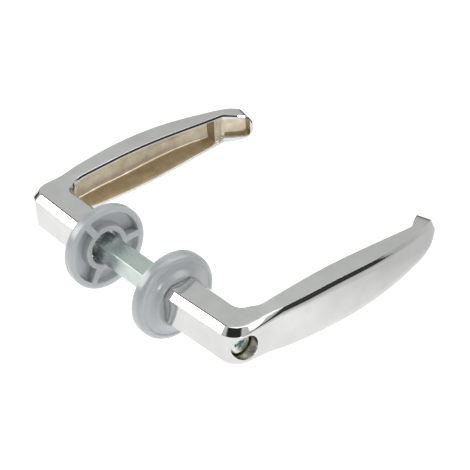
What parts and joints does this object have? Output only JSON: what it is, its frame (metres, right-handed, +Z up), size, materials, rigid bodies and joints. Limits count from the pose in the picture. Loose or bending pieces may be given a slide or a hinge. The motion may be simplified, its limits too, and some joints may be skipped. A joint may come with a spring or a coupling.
{
  "type": "door lever handle set",
  "caption": "Pair of slender cast door levers on a square spindle, with round roses that cover the hole in each face of the door and screws that clamp the set together.",
  "frame": {"origin": "on the spindle's axis, half way between the two roses", "axes": "+Y along the spindle towards the back lever, +X along the grips towards their tips, +Z up"},
  "size_m": [0.1142, 0.1306, 0.034],
  "materials": {
    "cast_lever": "polished chrome outside, satin cast finish in the hollow back",
    "rose": "semi-gloss silver grey",
    "spindle": "zinc plated",
    "screw": "bright zinc plated",
    "washer": "spring steel"
  },
  "bodies": {
    "back_rose": {"back_rose": "rose"},
    "front_rose": {"front_rose": "rose"},
    "spindle_and_back_lever": {"spindle": "spindle", "back_lever": "cast_lever", "back_screw": "screw", "back_spring_washer": "washer"},
    "front_lever": {"front_lever": "cast_lever", "front_screw": "screw", "front_spring_washer": "washer"}
  },
  "joints": [
    {"name": "levers_turn", "type": "hinge", "parent": "back_rose", "child": "spindle_and_back_lever", "pos_m": [0, 0, 0], "axis": [0, 1, 0], "range_deg": [0, 45]},
    {"name": "front_rose_slide", "type": "slide", "parent": "back_rose", "child": "front_rose", "axis": [0, 1, 0], "range_m": [-0.003, 0.003]},
    {"name": "front_lever_slide", "type": "slide", "parent": "spindle_and_back_lever", "child": "front_lever", "axis": [0, 1, 0], "range_m": [-0.003, 0.003]}
  ],
  "couplings": [
    {"joint": "front_lever_slide", "follows": "front_rose_slide", "ratio": 1}
  ]
}
